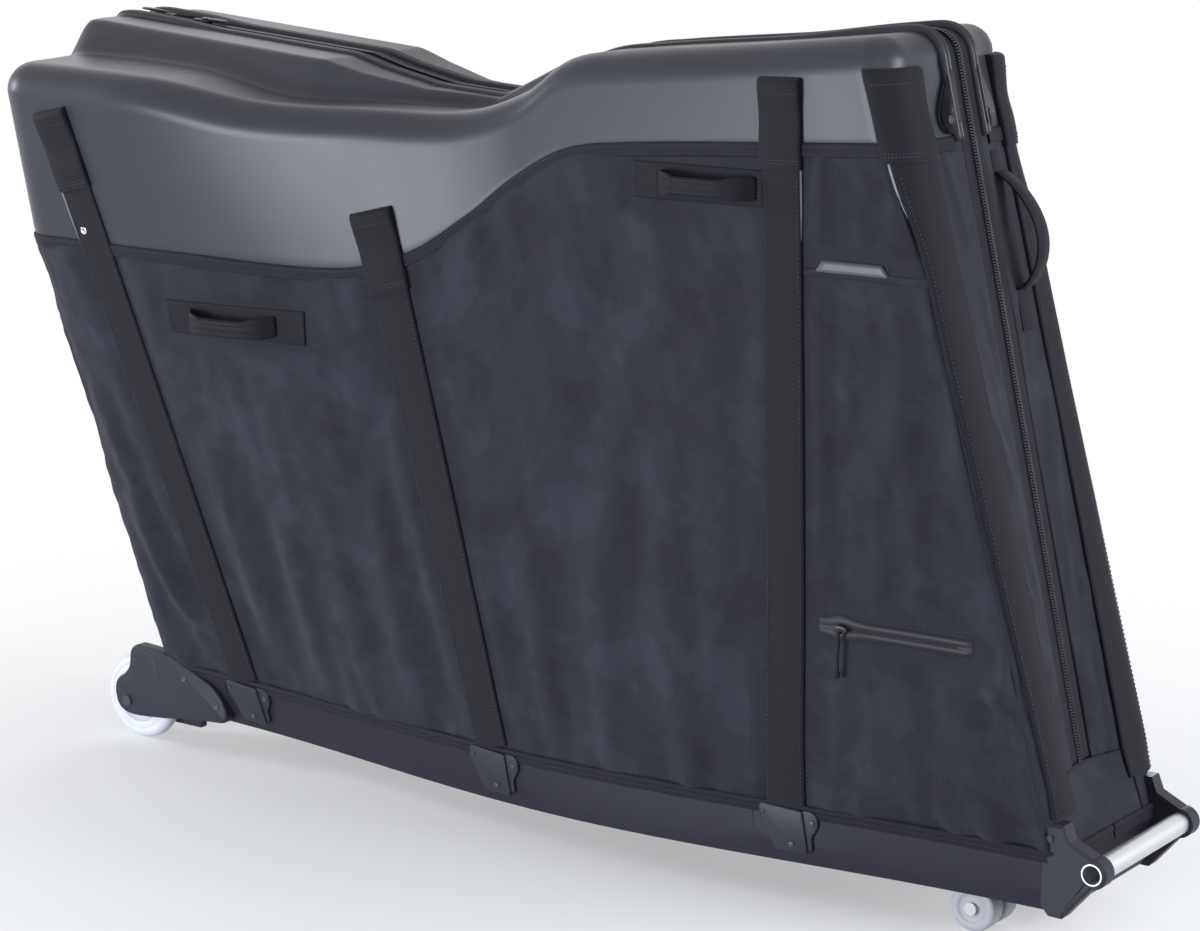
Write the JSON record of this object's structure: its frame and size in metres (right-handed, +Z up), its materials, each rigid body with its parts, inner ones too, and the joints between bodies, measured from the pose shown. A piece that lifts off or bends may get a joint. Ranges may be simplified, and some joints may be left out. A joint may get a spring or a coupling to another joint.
{
  "type": "bicycle travel case",
  "caption": "Wheeled soft-sided travel case for a road bicycle, with a moulded roof shell whose halves fold out from a rigid base, a zip, webbing handles and a tow tube.",
  "frame": {"origin": "middle of the case's outline on the floor it stands on", "axes": "+X to the end with the tow tube, -Y to the right-hand side, +Z up"},
  "size_m": [1.3508, 0.4912, 0.8749],
  "materials": {
    "shell": "satin moulded",
    "rim": "satin moulded",
    "fabric": "coated woven, faint mottled tone",
    "webbing": "woven tape",
    "zip_tape": "woven tape with coil teeth",
    "stay": "pultruded rod",
    "base": "smooth moulded",
    "fitting": "fine grained moulded",
    "rivet": "black",
    "steel": "plain",
    "tube": "brushed",
    "rail": "anodised",
    "tyre_white": "cast polyurethane",
    "hub": "moulded",
    "roller": "moulded",
    "zip_metal": "black",
    "cord": "braided"
  },
  "bodies": {
    "base": {"base_tray": "base", "front_lower_panel": "fabric", "rear_lower_panel": "fabric", "rear_wheel_arm_right": "fitting", "rear_wheel_arm_left": "fitting", "rear_axles": "steel", "front_corner_right": "fitting", "front_corner_left": "fitting", "corner_screws": "steel", "tow_handle": "tube", "stay_holders_right": "fitting", "stay_holders_left": "fitting", "holder_rivets": "rivet", "front_wheel_bracket_right": "fitting", "front_wheel_bracket_left": "fitting", "front_axles": "steel", "stand_rail": "rail", "fork_post": "rail"},
    "right_side": {"right_shell": "shell", "right_rim": "rim", "right_side_panel": "fabric", "right_front_panel": "fabric", "right_rear_panel": "fabric", "right_binding": "webbing", "right_zip_tape": "zip_tape", "right_stays": "stay", "right_stay_sleeves": "webbing", "right_stay_caps": "webbing", "right_handle_rear": "webbing", "right_handle_front": "webbing", "right_pocket": "fabric"},
    "left_side": {"left_shell": "shell", "left_rim": "rim", "left_side_panel": "fabric", "left_front_panel": "fabric", "left_rear_panel": "fabric", "left_binding": "webbing", "left_zip_tape": "zip_tape", "left_stays": "stay", "left_stay_sleeves": "webbing", "left_stay_caps": "webbing", "left_handle_rear": "webbing", "left_handle_front": "webbing", "left_end_handle": "webbing"},
    "rear_post": {"rear_post": "rail"},
    "rear_wheel_right": {"rear_tyre_right": "tyre_white", "rear_hub_right": "hub"},
    "front_wheel_right_outer": {"front_wheel_right_outer": "roller"},
    "front_wheel_right_inner": {"front_wheel_right_inner": "roller"},
    "rear_wheel_left": {"rear_tyre_left": "tyre_white", "rear_hub_left": "hub"},
    "front_wheel_left_outer": {"front_wheel_left_outer": "roller"},
    "front_wheel_left_inner": {"front_wheel_left_inner": "roller"},
    "front_zip_slider": {"front_zip_slider": "zip_metal"},
    "front_zip_pull": {"front_zip_pull": "zip_metal"},
    "rear_zip_slider": {"rear_zip_slider": "zip_metal"},
    "rear_zip_pull": {"rear_zip_pull": "zip_metal"},
    "pocket_slider": {"pocket_slider": "zip_metal"},
    "pocket_pull": {"pocket_pull": "cord"}
  },
  "joints": [
    {"name": "right_side_fold", "type": "hinge", "parent": "base", "child": "right_side", "pos_m": [0, -0.153, 0.104], "axis": [1, 0, 0], "range_deg": [0, 85]},
    {"name": "left_side_fold", "type": "hinge", "parent": "base", "child": "left_side", "pos_m": [0, 0.153, 0.104], "axis": [-1, 0, 0], "range_deg": [0, 85]},
    {"name": "rear_post_slide", "type": "slide", "parent": "base", "child": "rear_post", "axis": [1, 0, 0], "range_m": [-0.04, 0.04]},
    {"name": "rear_wheel_right_spin", "type": "hinge", "parent": "base", "child": "rear_wheel_right", "pos_m": [-0.577, -0.076, 0.05], "axis": [0, 1, 0], "continuous": true},
    {"name": "front_wheel_right_outer_spin", "type": "hinge", "parent": "base", "child": "front_wheel_right_outer", "pos_m": [0.524, -0.0736, 0.0245], "axis": [0, 1, 0], "continuous": true},
    {"name": "front_wheel_right_inner_spin", "type": "hinge", "parent": "base", "child": "front_wheel_right_inner", "pos_m": [0.524, -0.0444, 0.0245], "axis": [0, 1, 0], "continuous": true},
    {"name": "rear_wheel_left_spin", "type": "hinge", "parent": "base", "child": "rear_wheel_left", "pos_m": [-0.577, 0.076, 0.05], "axis": [0, 1, 0], "continuous": true},
    {"name": "front_wheel_left_outer_spin", "type": "hinge", "parent": "base", "child": "front_wheel_left_outer", "pos_m": [0.524, 0.0736, 0.0245], "axis": [0, 1, 0], "continuous": true},
    {"name": "front_wheel_left_inner_spin", "type": "hinge", "parent": "base", "child": "front_wheel_left_inner", "pos_m": [0.524, 0.0444, 0.0245], "axis": [0, 1, 0], "continuous": true},
    {"name": "front_zip_slide", "type": "slide", "parent": "right_side", "child": "front_zip_slider", "axis": [0.9967, 0, -0.0807], "range_m": [0, 0.21]},
    {"name": "front_zip_pull_turn", "type": "hinge", "parent": "front_zip_slider", "child": "front_zip_pull", "pos_m": [-0.52878, 0, 0.82986], "axis": [0, -1, 0], "range_deg": [0, 135]},
    {"name": "rear_zip_slide", "type": "slide", "parent": "right_side", "child": "rear_zip_slider", "axis": [-0.9967, 0, 0.0807], "range_m": [0, 0.03]},
    {"name": "rear_zip_pull_turn", "type": "hinge", "parent": "rear_zip_slider", "child": "rear_zip_pull", "pos_m": [-0.58471, 0, 0.83439], "axis": [0, 1, 0], "range_deg": [0, 135]},
    {"name": "pocket_zip_slide", "type": "slide", "parent": "right_side", "child": "pocket_slider", "axis": [0.9987, 0.0508, 0], "range_m": [0, 0.11]},
    {"name": "pocket_pull_swing", "type": "hinge", "parent": "pocket_slider", "child": "pocket_pull", "pos_m": [0.39251, -0.12605, 0.29322], "axis": [0.0508, -0.9985, 0.022], "range_deg": [-75, 75]}
  ]
}
